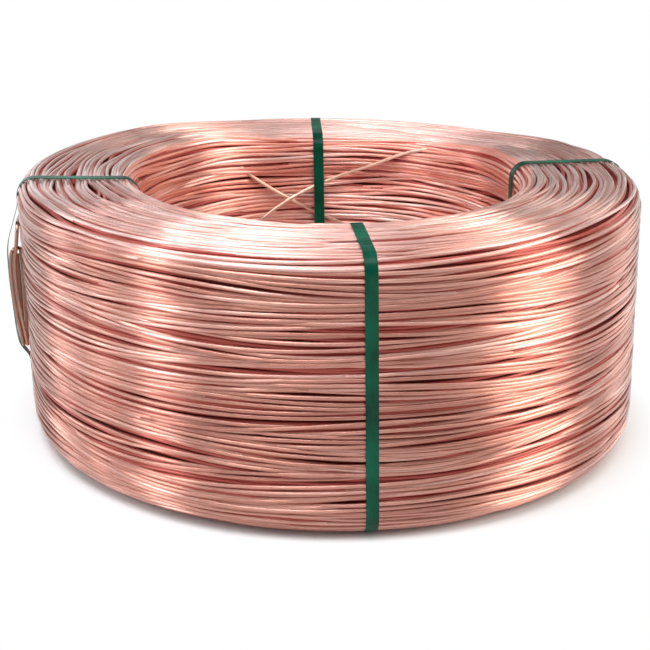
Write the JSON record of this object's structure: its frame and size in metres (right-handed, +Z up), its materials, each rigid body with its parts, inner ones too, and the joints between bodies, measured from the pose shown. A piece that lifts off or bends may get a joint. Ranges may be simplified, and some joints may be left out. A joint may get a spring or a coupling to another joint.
{
  "type": "copper winding wire coil",
  "caption": "Coil of bare copper wire standing on its end, wound round an open bore and held by plastic straps, with the wire's loose end folded under one strap.",
  "frame": {"origin": "on the coil's axis at floor level, where the coil stands on the undersides of its straps", "axes": "+Z up along the coil's axis, -Y towards the strap at the front, +X to the right seen from the front"},
  "size_m": [0.6698, 0.6609, 0.2754],
  "materials": {
    "copper": "satin",
    "strap": "satin"
  },
  "bodies": {
    "root": {"wire_coil": "copper", "strap_front": "strap", "strap_right": "strap", "strap_back": "strap", "strap_left": "strap", "wire_tail": "copper", "loose_turn_falling": "copper", "loose_turn_rising": "copper"}
  },
  "joints": []
}
